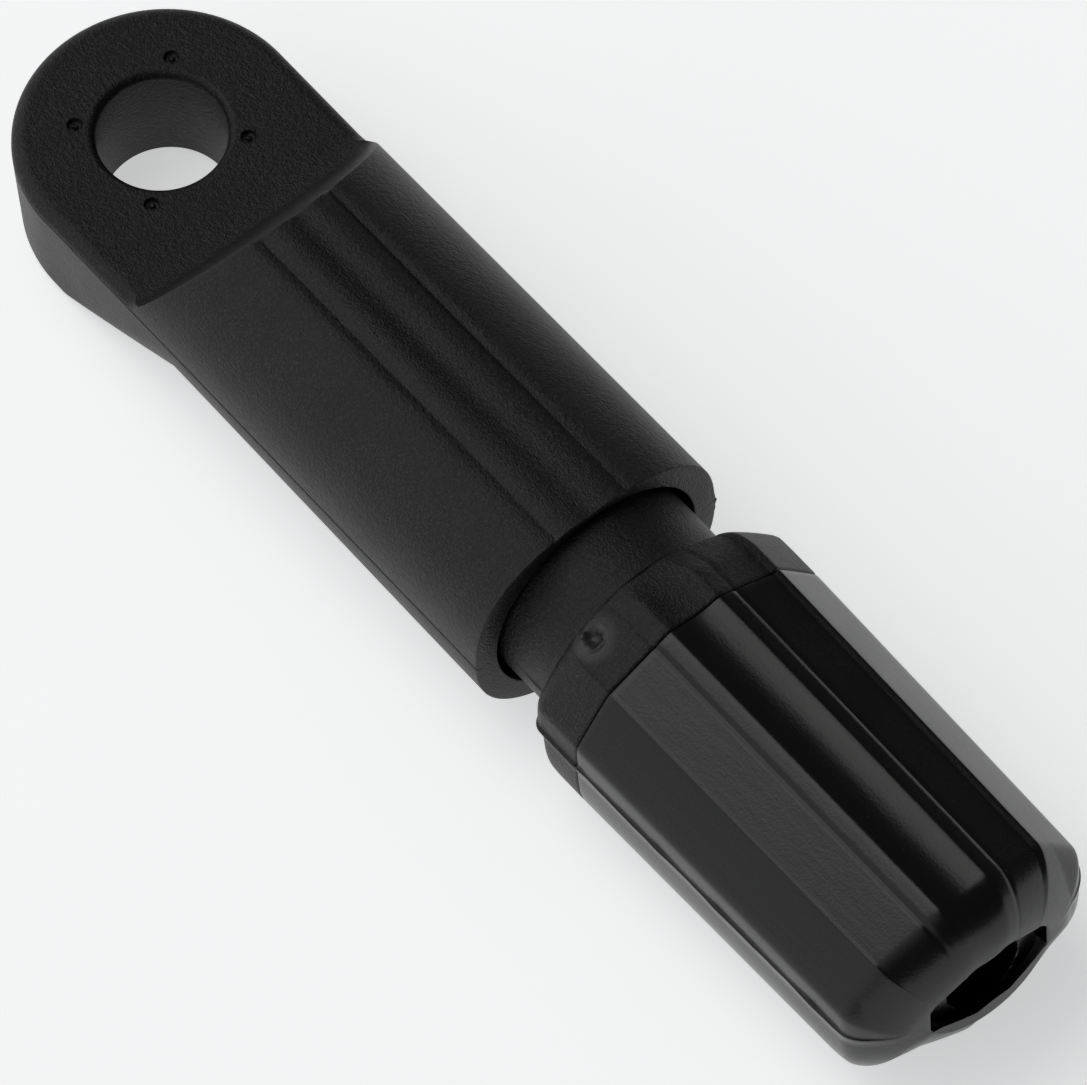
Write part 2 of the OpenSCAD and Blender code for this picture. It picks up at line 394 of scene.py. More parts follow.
def polished_black(name, finish):
    """Black plastic from a smooth mould: satin, with flow marks along its length, pits darkened with painted
    shade, and dust.
    """
    material = bpy.data.materials.new(name)
    tree = ShaderTree(material)
    place = tree.object_place()
    along = tree.object_place(scale=(0.16, 1.0, 1.0))
    haze = tree.noise(place, 0.12 * MM, detail=3.0, roughness=0.65)
    flow = tree.noise(along, 0.5 * MM, detail=3.0, roughness=0.6, distortion=0.4)
    cloud = tree.noise(place, 3.0 * MM, detail=2.0)
    pit = tree.spots(place, 0.95 * MM, 0.045) * tree.fade(cloud, 0.42, 0.6)
    dust = tree.spots(tree.object_place(centre=(0.003, 0.001, 0.002)), 2.6 * MM, 0.02)
    height = haze * 0.55 + flow * 0.7 - pit * 3.0
    roughness = finish.polish_roughness + (haze - 0.5) * 0.14 + (cloud - 0.5) * 0.1
    colour = tree.mix(flow * 0.5, rgba(finish.polish_colour), rgba(finish.polish_colour, 1.9))
    # Painted shade: the pits' colour is darkened to stand in for the shade inside these small hollows.
    colour = tree.mix(pit * 0.8, colour, rgba(finish.polish_colour, 0.3))
    colour = tree.mix(dust * 0.6, colour, rgba(finish.speck_colour))
    tree.surface(colour, roughness, tree.bump(height, finish.polish_depth))
    return material


def jaw_plastic(name, finish):
    """Dull grey nylon with faint turning marks."""
    material = bpy.data.materials.new(name)
    tree = ShaderTree(material)
    place = tree.object_place()
    rings = tree.object_place(scale=(1.0, 0.2, 0.2))
    fine = tree.noise(place, 0.12 * MM, detail=2.0)
    marks = tree.noise(rings, 0.15 * MM, detail=1.0)
    cloud = tree.noise(place, 1.6 * MM, detail=2.0)
    colour = tree.mix(cloud, rgba(finish.jaw_colour, 0.8), rgba(finish.jaw_colour, 1.25))
    roughness = 0.5 + (cloud - 0.5) * 0.2
    tree.surface(colour, roughness, tree.bump(fine * 0.5 + marks, 0.008 * MM))
    return material


# Properties

class FinishSettings(bpy.types.PropertyGroup):
    """Colours and relief of the mouldings."""

    grain_colour: FloatVectorProperty(
        name="Grained black", description="Colour of the spark-eroded plastic", subtype="COLOR",
        size=3, min=0, max=1, default=(0.0016, 0.0016, 0.002))
    # Painted highlight on the grain's raised tips: the glints they catch from the softbox, painted as a pale warm
    # colour instead of lit.
    grain_glint_colour: FloatVectorProperty(
        name="Grain tips", description="Colour of the worn tips of the grain", subtype="COLOR",
        size=3, min=0, max=1, default=(0.03, 0.029, 0.0275))
    gate_colour: FloatVectorProperty(
        name="Gate patch", description="Colour of the stressed plastic round the gate", subtype="COLOR",
        size=3, min=0, max=1, default=(0.024, 0.024, 0.025))
    polish_colour: FloatVectorProperty(
        name="Smooth black", description="Colour of the smooth grip", subtype="COLOR",
        size=3, min=0, max=1, default=(0.0024, 0.0024, 0.0026))
    speck_colour: FloatVectorProperty(
        name="Specks", description="Colour of dust and pale specks", subtype="COLOR",
        size=3, min=0, max=1, default=(0.16, 0.16, 0.17))
    jaw_colour: FloatVectorProperty(
        name="Jaws", description="Colour of the two jaws", subtype="COLOR",
        size=3, min=0, max=1, default=(0.075, 0.076, 0.082))
    grain_size: FloatProperty(
        name="Grain size", description="Width of one grain", unit="LENGTH", precision=6,
        default=0.08 * MM, min=0.05 * MM, max=0.6 * MM)
    grain_depth: FloatProperty(
        name="Grain depth", description="Depth of the grain", unit="LENGTH", precision=6,
        default=0.045 * MM, min=0.0, max=0.2 * MM)
    grain_roughness: FloatProperty(
        name="Grain roughness", description="Roughness of the grained plastic",
        default=0.45, min=0.1, max=1.0)
    polish_depth: FloatProperty(
        name="Haze depth", description="Depth of the grip's haze and flow marks", unit="LENGTH",
        precision=6, default=0.012 * MM, min=0.0, max=0.1 * MM)
    polish_roughness: FloatProperty(
        name="Grip roughness", description="Roughness of the smooth grip",
        default=0.25, min=0.05, max=1.0)


class EyeSettings(bpy.types.PropertyGroup):
    """Sizes of the eye body that the frame doesn't give, in millimetres."""

    tab_top: FloatProperty(
        name="Tab top", description="Height of the tab's face above the parting line",
        default=0.45, min=0.2, max=1.2)
    edge_band: FloatProperty(
        name="Edge band", description="Width of the tab's rounded top edge", default=0.62, min=0.2, max=1.2)
    ramp_x: FloatProperty(
        name="Ramp foot", description="Distance of the ramp's foot from the eye",
        default=5.7, min=5.0, max=7.0)
    ramp_run: FloatProperty(
        name="Ramp run", description="Run of the ramp for each millimetre of rise",
        default=0.61, min=0.4, max=1.0)
    flute_depth: FloatProperty(
        name="Flute depth", description="Depth of the flutes along the barrel's top",
        default=0.17, min=0.0, max=0.3)
    flute_y: FloatProperty(
        name="Flute place", description="Distance of the outer flutes from the middle",
        default=1.65, min=1.0, max=2.5)
    dimple_r: FloatProperty(
        name="Dimple radius", description="Radius of the four dimples round the eye",
        default=0.31, min=0.1, max=0.5)
    dimple_ring_r: FloatProperty(
        name="Dimple ring", description="Distance of the dimples from the eye's axis",
        default=3.28, min=3.0, max=4.0)
    lip: FloatProperty(
        name="Eye lip", description="Radius of the eye's rounded lip", default=0.38, min=0.1, max=0.6)


class PlugSettings(bpy.types.PropertyGroup):
    """Sizes of the plug that the frame doesn't give, in millimetres."""

    stem_r: FloatProperty(name="Stem radius", description="Radius of the stem", default=4.4, min=4.0, max=4.5)
    collar_round: FloatProperty(
        name="Collar rounding", description="Length over which the collar grows from the stem",
        default=0.8, min=0.4, max=2.2)
    flash: FloatProperty(
        name="Parting flash", description="Height of the flash on the parting line",
        default=0.07, min=0.0, max=0.2)


class GripSettings(bpy.types.PropertyGroup):
    """Sizes of the grip that the frame doesn't give, in millimetres."""

    channel_half: FloatProperty(
        name="Channel half width", description="Half width of the channel along the top",
        default=1.16, min=0.6, max=1.6)
    channel_depth: FloatProperty(
        name="Channel depth", description="Depth of the channel", default=0.19, min=0.0, max=0.4)
    facet_slope: FloatProperty(
        name="Facet slope", description="Fall of the two facets beside the channel",
        default=0.45, min=0.0, max=0.6)
    groove_depth: FloatProperty(
        name="Groove depth", description="Depth of the fine groove along each facet",
        default=0.055, min=0.0, max=0.1)
    crown: FloatProperty(
        name="End crown", description="Fall of the end for each square millimetre from its middle",
        default=0.03, min=0.0, max=0.06)
    end_round: FloatProperty(
        name="End rounding", description="Radius of the rounded end's sides", default=1.8, min=0.6, max=2.4)
    end_round_top: FloatProperty(
        name="End rounding above", description="Height of the rounded end on the upper half",
        default=2.5, min=0.6, max=3.0)
    end_round_low: FloatProperty(
        name="End rounding below", description="Radius of the rounded end on the lower half",
        default=3.1, min=0.6, max=3.4)
    draft: FloatProperty(
        name="Draft", description="How much narrower each side is at the end", default=0.25, min=0.0, max=0.4)
    flash: FloatProperty(
        name="Parting flash", description="Height of the flash on the parting line",
        default=0.09, min=0.0, max=0.2)


class StageSettings(bpy.types.PropertyGroup):
    """Camera and light."""

    azimuth: FloatProperty(
        name="Azimuth", description="Direction of view round the object, in degrees", default=53.928)
    elevation: FloatProperty(
        name="Elevation", description="Height of the view above the horizon, in degrees", default=58.727)
    roll: FloatProperty(
        name="Roll", description="Turn of the camera about its view, in degrees", default=3.695)
    distance: FloatProperty(
        name="Distance", description="Distance of the camera", unit="LENGTH", default=0.5903, min=0.1)
    lens: FloatProperty(name="Lens", description="Focal length", default=530.2, min=50.0)
    floor_colour: FloatVectorProperty(
        name="Floor", description="Colour of the floor", subtype="COLOR", size=3, min=0, max=1,
        default=(0.86, 0.865, 0.87))
    softbox: FloatProperty(
        name="Softbox", description="Radiance of the large softbox", default=1.35, min=0.0)


class CordLockSettings(bpy.types.PropertyGroup):
    """Everything that can be set."""

    finish: PointerProperty(type=FinishSettings)
    eye: PointerProperty(type=EyeSettings)
    plug: PointerProperty(type=PlugSettings)
    grip: PointerProperty(type=GripSettings)
    stage: PointerProperty(type=StageSettings)


# The eye body

COLUMNS = 360
UPPER_COLUMNS = 214
CIRCLE = np.linspace(0, 2 * np.pi, COLUMNS, endpoint=False)
RING_X = MOUTH_X - 4.3
MOUTH_R = 4.7
RING_R = 4.45
CHAMBER_R = 4.6
SOCKET_FLOOR_X = 12.0
UNDER_TAPER = 0.035


def joined_halves(upper, lower, upper_count):
    """Closed loops from an upper path (right to left) and a lower path (left to right) of (y, z)."""
    top = spaced(upper, upper_count + 1)
    under = spaced(lower, COLUMNS - upper_count + 1)
    return np.concatenate([top[:, :-1], under[:, :-1]], axis=1)


def eye_half_width(x):
    """Half the width at x: a circle about the eye, then straight."""
    return np.sqrt(np.clip(TAB_R**2 - np.minimum(x, 0) ** 2, 0, None))


def flutes(x, y, eye):
    """Depth of the barrel's flutes: two narrow ones and a broad faint one between, fading to the mouth."""
    narrow = np.exp(-(np.abs(np.abs(y) - eye.flute_y) / 0.3) ** 1.4)
    broad = bell(y, 0.6)
    fade = smooth_step(x, 7.0, 8.8) * (1 - 0.45 * smooth_step(x, 14, MOUTH_X))
    return eye.flute_depth * (narrow + broad) * fade


def eye_top(x, y, eye):
    """Height of the upper skin: the tab's flat face with a rounded edge, then the lower of the ramp and
    the barrel's dome, less the flutes."""
    half = eye_half_width(x)
    inside = np.where(x < 0, TAB_R - np.hypot(x, y), half - np.abs(y))
    rim = np.clip((eye.edge_band - inside) / eye.edge_band, 0, 1)
    tab = eye.tab_top * (1 - rim**1.9) ** (1 / 1.9)
    share = np.clip((x - 6) / (MOUTH_X - 6), 0, 1)
    barrel = dome(y, half, BARREL_B * (0.97 + 0.03 * share), 2.05 + 0.45 * share)
    sides = tab + (barrel - tab) * smooth_step(x, 5.0, 6.3)
    foot = eye.ramp_x - 0.12 * (y / TAB_R) ** 2
    ramp = eye.tab_top + smooth_max((x - foot) / eye.ramp_run, 0.0, 0.4)
    edge = 0.07 * smooth_step(x, 5.0, 6.5)
    low = smooth_min(barrel, ramp, edge + 1e-6)
    height = np.where(x < 5.0, tab, np.minimum(low, sides + np.maximum(ramp - eye.tab_top, 0)))
    lift = smooth_step(np.abs(y), half, half - 0.12)
    return np.maximum(height, 0) - flutes(x, y, eye) * lift


def eye_under(x, count):
    """The lower skin's path at each x: a wall, a corner that grows from a small rounding on the tab to the
    barrel's whole curve, and a flat that shrinks to nothing."""
    half = eye_half_width(x)
    depth = -EYE_LOW[2] * (0.96 + 0.04 * smooth_step(x, 2, MOUTH_X))
    share = smooth_max(np.clip((x - 0.3) / 7.0, -1, 1), 0, 0.06)
    share = np.minimum(share, 1)
    corner_y = np.minimum(np.maximum(share * half, 0.3), half)
    corner_z = np.maximum(share * depth, 0.3)
    power = 2.0 + 0.3 * np.clip(x / MOUTH_X, 0, 1)
    turn = np.linspace(0, np.pi / 2, count)
    wave_y = np.cos(turn) ** (2 / power[:, None])
    wave_z = np.sin(turn) ** (2 / power[:, None])
    wall = np.linspace(0, 1, 40)[:-1] * (depth - corner_z)[:, None]
    floor = np.linspace(1, -1, 60)[1:-1] * (half - corner_y)[:, None]
    quarter_y = (half - corner_y)[:, None] + corner_y[:, None] * wave_y
    quarter_z = (depth - corner_z)[:, None] + corner_z[:, None] * wave_z
    left_y = np.concatenate([np.broadcast_to(half[:, None], wall.shape), quarter_y], axis=1)
    left_z = np.concatenate([wall, quarter_z], axis=1)
    y = np.concatenate([-left_y, -floor, left_y[:, ::-1]], axis=1)
    z = np.concatenate([left_z, np.broadcast_to(depth[:, None], floor.shape), left_z[:, ::-1]], axis=1)
    y = y * (1 - UNDER_TAPER * z / depth[:, None] * (1 - share)[:, None])
    return np.stack([y, -z], axis=-1)


def eye_grid(eye):
    """The outside from the tab's round end to the mouth, the rim, and the stepped socket."""
    round_end = -TAB_R * np.cos(np.radians(np.linspace(1.2, 90, 52)))
    x = np.concatenate([
        round_end,
        np.linspace(0, 5.1, 20)[1:],
        np.linspace(5.1, 6.5, 24)[1:],
        np.linspace(6.5, 9.4, 48)[1:],
        np.linspace(9.4, MOUTH_X - 0.3, 34)[1:],
        MOUTH_X - np.array([0.18, 0.09, 0.05]),
    ])
    half = eye_half_width(x)
    turn = np.linspace(0, np.pi, 700)
    y = half[:, None] * np.cos(turn)
    upper = np.stack([y, eye_top(x[:, None], y, eye)], axis=-1)
    outside = joined_halves(upper, eye_under(x, 160), UPPER_COLUMNS)
    seam = 0.05 * bell(outside[..., 1], 0.05) * np.sign(outside[..., 0]) * smooth_step(x, -5.6, -4.5)[:, None]
    outside[..., 0] -= seam
    grid = rows_at(x, outside)
    nib = bell(grid[..., 0] - MOUTH_X, 0.7) * bell(grid[..., 2] + 0.25, 0.42) * (grid[..., 1] > 5)
    grid[..., 1] += 0.09 * nib * (0.6 + ripple(grid[..., 0] * 9, grid[..., 2] * 14))
    angles = np.arctan2(grid[-1, :, 2], grid[-1, :, 1])
    last = grid[-1, :, 1:]
    rim_r = np.linalg.norm(last, axis=-1)
    unit = last / rim_r[:, None]

    def rim(x_place, inset, share):
        """A ring of the rim: inset from the outside, share of the way in to the socket."""
        radius = (rim_r - inset) * (1 - share) + 4.74 * share
        return rows_at([x_place], (unit * radius[:, None])[None])

    rim_rows = [
        rim(MOUTH_X - 0.02, 0.03, 0), rim(MOUTH_X, 0.07, 0), rim(MOUTH_X, 0.07, 0.5), rim(MOUTH_X, 0.0, 1),
        circle_rows([MOUTH_X - 0.03], [MOUTH_R], angles),
    ]
    socket_x = [MOUTH_X - 1.2, MOUTH_X - 2.4, RING_X + 1.06, RING_X + 1.0, RING_X + 0.94, RING_X + 0.5,
                RING_X + 0.06, RING_X, RING_X - 0.05, 18.0, 15.0, SOCKET_FLOOR_X + 0.2] + [SOCKET_FLOOR_X] * 3
    socket_r = [MOUTH_R] * 3 + [MOUTH_R - 0.04] + [RING_R] * 3 + [RING_R + 0.04] + [CHAMBER_R] * 4
    socket_r += [CHAMBER_R - 0.15, 2.5, 0.6]
    return np.concatenate([grid, *rim_rows, circle_rows(socket_x, socket_r, angles)])


def eye_cutters(eye):
    """The eye itself with its two rounded lips, and the four dimples with their pips."""
    bottom = EYE_LOW[2]
    turn = np.radians(np.linspace(0, 72, 10))
    lip_r = EYE_R + eye.lip - eye.lip * np.cos(turn)
    lip_z = eye.tab_top - eye.lip * math.sin(math.radians(72)) + eye.lip * np.sin(turn)
    under = 0.25
    profile = [(0.05, bottom - 1), (EYE_R + 1.1 * under, bottom - 1), (EYE_R + 1.1 * under, bottom),
               (EYE_R, bottom + 0.2 + 0.8 * under), (EYE_R, -1.5)]
    profile += list(zip(lip_r, lip_z))
    top = eye.tab_top + 1
    profile += [(lip_r[-1] + 0.3, top), (0.05, top)]
    cutters = [lathe(profile, (0, 0, 0), 160)]
    r = eye.dimple_r
    floor = eye.tab_top - 0.2
    dimple = [(0.01, floor + 0.13), (0.07, floor + 0.12), (0.12, floor + 0.02), (0.16, floor),
              (r * 0.75, floor + 0.01), (r * 0.93, floor + 0.08), (r, floor + 0.2), (r + 0.1, top),
              (0.01, top)]
    for quarter in range(4):
        angle = math.radians(45 + 90 * quarter)
        centre = (eye.dimple_ring_r * math.cos(angle), eye.dimple_ring_r * math.sin(angle), 0)
        cutters.append(lathe(dimple, centre, 28))
    return cutters


class CORDLOCK_OT_eye_body(bpy.types.Operator):
    """Builds the eye body: tab, ramp, fluted barrel and socket"""

    bl_idname = "cordlock.eye_body"
    bl_label = "Eye body"

    def execute(self, context):
        settings = context.scene.cord_lock
        mesh = grid_mesh("eye_shell", eye_grid(settings.eye))
        face_outwards(mesh)
        thing = new_object("eye_shell", mesh)
        cut_away(thing, eye_cutters(settings.eye))
        material = grained_black("grained black", settings.finish)
        finish_piece(thing, "eye", material, ["eye_body"])
        return {"FINISHED"}


# The grip's section, which the collar shares

GRIP_A = 0.5 * (GRIP_HIGH[1] - GRIP_LOW[1])
GRIP_B = GRIP_HIGH[2]
GRIP_POWER = 3.5
CHAMFER_Y = 4.24
CHAMFER_DROP = 1.4
CHAMFER_SLOPE = 1.3
GRIP_SHIFT = 0.27
SPIGOT_R = 3.4
SPIGOT_LEN = 13.5
SPIGOT_END = GRIP_X + SPIGOT_LEN
RIB_H = 0.6


def grip_ceiling(y, grip):
    """Height over y, from the section's highest point, of the channel, of the facet on each side of it
    with its fine groove, and of the narrow level lip at each facet's outer edge."""
    away = np.abs(y)
    lip = np.where(y < 0, CHAMFER_Y - 0.22, CHAMFER_Y - 0.66)
    fall = grip.facet_slope * smooth_max(np.minimum(away, lip) - grip.channel_half, 0.0, 0.05)
    channel = grip.channel_depth * np.clip(1 - (y / grip.channel_half) ** 2, 0, None)
    groove = grip.groove_depth * np.clip(1 - np.abs(away - 1.63 * grip.channel_half) / 0.17, 0, None)
    return -fall - channel - groove


def grip_loops(x, inset, grip, inset_top=None, inset_low=None):
    """Closed loops of the grip's section: a superellipse with a channel and facets pressed into its top and
    bottom, a chamfer on the upper sides, and flash on the parting line. The insets of the upper and of the
    lower half may be more than the sides' inset."""
    x = np.asarray(x, float)
    inset = np.asarray(inset, float)
    draft = grip.draft * np.clip((x - GRIP_X) / (END_X - GRIP_X), 0, 1)
    half = (GRIP_A - draft - inset)[:, None]
    high = (GRIP_B - draft - inset)[:, None]
    turn = np.linspace(0, np.pi, 900)
    y = half * np.cos(turn)
    whole_y = y * GRIP_A / half
    shape = dome(y, half, high, GRIP_POWER)
    ceiling = high + grip_ceiling(whole_y, grip)
    chamfer = high - CHAMFER_DROP - CHAMFER_SLOPE * (np.abs(whole_y) - CHAMFER_Y) * half / GRIP_A
    ends = smooth_step(np.abs(y), half, half - 1e-3)
    top = smooth_min(smooth_min(shape, chamfer, 0.5), ceiling, 0.03)
    under = smooth_min(shape, ceiling, 0.04)
    rise = 1 if inset_top is None else (1 - (inset_top - inset) / high[:, 0])[:, None]
    drop = 1 if inset_low is None else (1 - (inset_low - inset) / high[:, 0])[:, None]
    upper = np.stack([y, np.maximum(top, 0) * ends * rise], axis=-1)
    lower = np.stack([-y, -np.maximum(under, 0) * ends * drop], axis=-1)
    loops = joined_halves(upper, lower, COLUMNS // 2)
    z = loops[..., 1]
    ridge = grip.flash * np.where(z > 0, bell(z, 0.05), bell(z, 0.3)) * np.sign(loops[..., 0])
    loops[..., 0] += ridge * (1 + 0.35 * ripple(x[:, None] * 1.3, z * 0))
    return loops


def spigot_profile(grow):
    """Places and radii along the spigot with its two ribs, from the grip's front to the spigot's end."""
    x, r = [GRIP_X], [SPIGOT_R + grow]
    for k in (1, 2):
        rib = GRIP_X + SPIGOT_LEN * k / 3
        x += [rib - 0.6 - grow, rib - 0.55 - grow, rib + 0.55 + grow, rib + 0.6 + grow]
        r += [SPIGOT_R + grow, SPIGOT_R + RIB_H + grow, SPIGOT_R + RIB_H + grow, SPIGOT_R + grow]
    x += [SPIGOT_END - 0.1 + grow, SPIGOT_END + grow]
    r += [SPIGOT_R + grow, SPIGOT_R - 0.1 + grow]
    return np.array(x), np.array(r)


# The plug

COLLAR_X = MOUTH_X + 0.05 + TRAVEL
HEAD_X = RING_X - 0.1
TAPER_LEN = 11
TAPER_WIDE_R = 3.5
TAPER_NARROW_R = 2.3
BORE_ROW = 29 / 3
GATE = np.array([29.2, -2.9, 3.7])


def gate_scar(points, normal_out):
    """Pushes points in and out round the gate: a pit with a torn rim, part of a ring, and a drag mark."""
    dx = points[..., 0] - GATE[0]
    dy = (points[..., 1] - GATE[1]) * 1.05
    away = np.hypot(dx, dy)
    angle = np.arctan2(dy, dx)
    pit = -0.24 * np.exp(-((away / (0.3 + 0.05 * np.sin(2 * angle + 1))) ** 4))
    torn = 0.1 * bell(away - 0.43, 0.08) * np.clip(0.35 + 0.9 * ripple(angle * 1.5, seed=0.7), 0, 1.2)
    ring = 0.022 * bell(away - 0.72, 0.06) * (1 + np.sin(angle - 0.6))
    drag_ends = smooth_step(dx, 0.1, 0.3) * (1 - smooth_step(dx, 1.1, 1.3))
    drag = 0.018 * bell(dy - 0.35 - 0.45 * dx, 0.05) * drag_ends
    on_top = points[..., 2] > 2
    return (pit + torn + ring + drag)[..., None] * on_top[..., None] * normal_out


def collar_rows(plug, grip):
    """The collar: each loop lies between the stem's circle and the grip's section, nearer the section as x
    grows. It starts in a fine crease, swells quickly at the sides and hardly rises over the top."""
    after = np.concatenate([
        [0, 0.02, 0.05, 0.08, 0.12, 0.17, 0.23, 0.3, 0.4, 0.52],
        np.linspace(0.64, GRIP_X - 0.12 - COLLAR_X, 36),
        GRIP_X - COLLAR_X - np.array([0.06, 0.02, 0.0]),
    ])
    x = COLLAR_X + after
    section = grip_loops(np.full(len(x), GRIP_X), np.zeros(len(x)), grip)
    section[..., 0] += GRIP_SHIFT
    circle = np.stack([plug.stem_r * np.cos(CIRCLE), plug.stem_r * np.sin(CIRCLE)], axis=-1)
    u = (after / plug.collar_round)[:, None]
    late = np.where(np.sin(CIRCLE) < -0.05, 0.35 * smooth_step(-np.sin(CIRCLE), 0.02, 0.1), 0)
    side = np.clip(u - late, 0, 1)
    quick = np.sqrt(1 - (1 - side) ** 2.3)
    slow = 0.3 * smooth_step(after[:, None], 0.0, 0.12) + 0.7 * smooth_step(after[:, None], 0.0, 1.5)
    top = np.abs(np.sin(CIRCLE)) ** 3
    share = quick * (1 - top) + slow * top
    edge = 0.07 * np.clip(1 - (GRIP_X - x) / 0.1, 0, 1) ** 2 + 0.06 * bell(after - 0.05, 0.035)
    loops = circle + (section - circle) * share[..., None]
    radius = np.linalg.norm(loops, axis=-1, keepdims=True)
    loops = loops * (1 - edge[:, None, None] / radius)
    grid = rows_at(x, loops)
    outward = np.concatenate([np.zeros(loops.shape[:2] + (1,)), loops / radius], axis=2)
    return grid + gate_scar(grid, outward)


def plug_grid(plug, grip):
    """A ring of rows: head, stem, collar, spigot, then back through the bore and the taper."""
    r = plug.stem_r
    head = r + 0.15
    x = [STEM_X, STEM_X + 0.04, STEM_X + 0.12, 17.5, HEAD_X - 2.05, HEAD_X - 2.0, HEAD_X - 1.95, HEAD_X - 1.0,
         HEAD_X - 0.05, HEAD_X, HEAD_X + 0.03]
    radii = [r - 0.12, r - 0.03, r, r, r, head - 0.05, head, head, head, head - 0.04, r]
    stem_x = np.linspace(HEAD_X + 0.4, COLLAR_X - 0.01, 40)
    outer = circle_rows(np.concatenate([x, stem_x]), np.concatenate([radii, np.full(40, r)]), CIRCLE)
    flash = plug.flash * bell(outer[..., 2], 0.06) * np.sign(outer[..., 1]) * (outer[..., 0] > HEAD_X + 0.1)
    outer[..., 1] += 0.6 * flash * (1 + 0.5 * ripple(outer[..., 0] * 2.1))
    spigot_x, spigot_r = spigot_profile(0.0)
    bore = CORD_R + 0.2
    taper_end = STEM_X + TAPER_LEN
    middle_r = TAPER_WIDE_R - (TAPER_WIDE_R - TAPER_NARROW_R) * 5 / TAPER_LEN
    back_x = [SPIGOT_END, taper_end + BORE_ROW, taper_end, taper_end - 0.01, STEM_X + 5, STEM_X + 0.1, STEM_X]
    back_r = [bore + 0.1, bore, bore, TAPER_NARROW_R, middle_r, TAPER_WIDE_R, TAPER_WIDE_R + 0.1]
    return np.concatenate([
        outer,
        collar_rows(plug, grip),
        circle_rows(spigot_x, spigot_r, CIRCLE),
        circle_rows(back_x, back_r, CIRCLE),
    ])


def slot_box(turned):
    """A closed box, as a grid, for one of the stem's two crossing slots."""
    wide, high = 6.0, 0.45
    corners = np.array([(wide, -high), (wide, high), (-wide, high), (-wide, -high)])
    if turned:
        corners = corners[:, ::-1]
    loops = np.array([corners, corners])
    return rows_at([STEM_X - 1, STEM_X + 7.5], loops)


class CORDLOCK_OT_plug(bpy.types.Operator):
    """Builds the plug: springy stem, collar with its gate mark, and the spigot inside the grip"""

    bl_idname = "cordlock.plug"
    bl_label = "Plug"

    def execute(self, context):
        settings = context.scene.cord_lock
        mesh = grid_mesh("plug_moulding", plug_grid(settings.plug, settings.grip), ring=True)
        face_outwards(mesh)
        thing = new_object("plug_moulding", mesh)
        cut_away(thing, [slot_box(False), slot_box(True)])
        material = grained_black("plug black", settings.finish, gate=GATE)
        finish_piece(thing, "plug", material, ["plug"])
        return {"FINISHED"}


# The grip

def pocket_radius(angles, half_y, half_z):
    """Distance from the axis to the pocket's edge at each angle: an ellipse with blunted ends."""
    ellipse = np.hypot(np.cos(angles) / half_y, np.sin(angles) / half_z) ** -1
    return np.minimum(ellipse, 0.955 * half_y / np.maximum(np.abs(np.cos(angles)), 0.1))


def crowned(points, grip):
    """Draws the end's sides back: x falls by the crown times y squared, more and more towards the end."""
    points = points.copy()
    y = np.minimum(np.abs(points[..., 1]), 4.6)
    points[..., 0] -= grip.crown * y**2 * smooth_step(points[..., 0], END_X - 3.2, END_X)
    return points


def grip_grid(grip):
    """A ring of rows: front face, skin, rounded end, pocket, cord hole, then back along the spigot's seat."""
    front_x = GRIP_X + 0.015
    body_x = np.concatenate([
        front_x + np.array([0.0, 0.015, 0.05, 0.1]),
        np.linspace(GRIP_X + 0.35, END_X - grip.end_round, 56),
    ])
    front = 0.09 * np.array([1.0, 0.5, 0.12, 0.0])
    turn = np.radians(np.linspace(0, 90, 26)[1:])
    end_x = END_X - grip.end_round + grip.end_round * np.sin(turn)
    end_inset = grip.end_round * (1 - np.cos(turn))
    x = np.concatenate([body_x, end_x])
    inset = np.concatenate([front, np.zeros(56), end_inset])
    depth = np.clip((x - END_X + grip.end_round_low) / grip.end_round_low, 0, 1)
    inset_low = np.maximum(inset, grip.end_round_low * (1 - np.sqrt(1 - depth**2)))
    inset_top = inset * grip.end_round_top / grip.end_round
    skin = rows_at(x, grip_loops(x, inset, grip, inset_top, inset_low))
    last = skin[-1, :, 1:]
    angles = np.arctan2(last[:, 1], last[:, 0])
    reach = np.linalg.norm(last, axis=-1)
    unit = last / reach[:, None]
    rough = 0.05 * np.clip(ripple(angles * 9, seed=0.4), -0.4, 1) * (np.sin(angles) < 0.2)

    def face(x_place, radius):
        """A loop at one place with a radius for each column."""
        return rows_at([x_place], (unit * radius[:, None])[None])

    rim = pocket_radius(angles, 2.9, 1.9)
    floor = pocket_radius(angles, 2.84, 1.86)
    hole = np.full(COLUMNS, CORD_R)
    end_rows = [
        face(END_X, reach * 0.7 + rim * 0.3), face(END_X, reach * 0.3 + rim * 0.7), face(END_X, rim + 0.08),
        face(END_X - 0.02, rim + 0.02), face(END_X - 0.08, rim), face(END_X - 0.46, floor),
        face(END_X - 0.5, floor - 0.04), face(END_X - 0.5, np.minimum(floor - 0.06, hole + 0.05)),
        face(END_X - 0.54, hole - rough), face(END_X - 0.8, hole - 0.4 * rough), face(END_X - 1.2, hole),
    ]
    hole_x = [END_X - 2.0, SPIGOT_END + 0.1, SPIGOT_END + 0.02]
    seat_x, seat_r = spigot_profile(0.02)
    seat = circle_rows(seat_x[::-1], seat_r[::-1], angles)
    seat[-1, :, 0] = front_x
    hole_rows = circle_rows(hole_x, [CORD_R, CORD_R, CORD_R + 0.1], angles)
    outside = np.concatenate([skin, *end_rows])
    outside[..., 1] += GRIP_SHIFT
    return np.concatenate([crowned(outside, grip), hole_rows, seat])


class CORDLOCK_OT_grip(bpy.types.Operator):
    """Builds the grip: channel, facets, flash, rounded end, pocket and cord hole"""

    bl_idname = "cordlock.grip"
    bl_label = "Grip"

    def execute(self, context):
        settings = context.scene.cord_lock
        mesh = grid_mesh("grip_moulding", grip_grid(settings.grip), ring=True)
        face_outwards(mesh)
        thing = new_object("grip_moulding", mesh)
        material = polished_black("smooth black", settings.finish)
        finish_piece(thing, "plug", material, ["grip"])
        return {"FINISHED"}


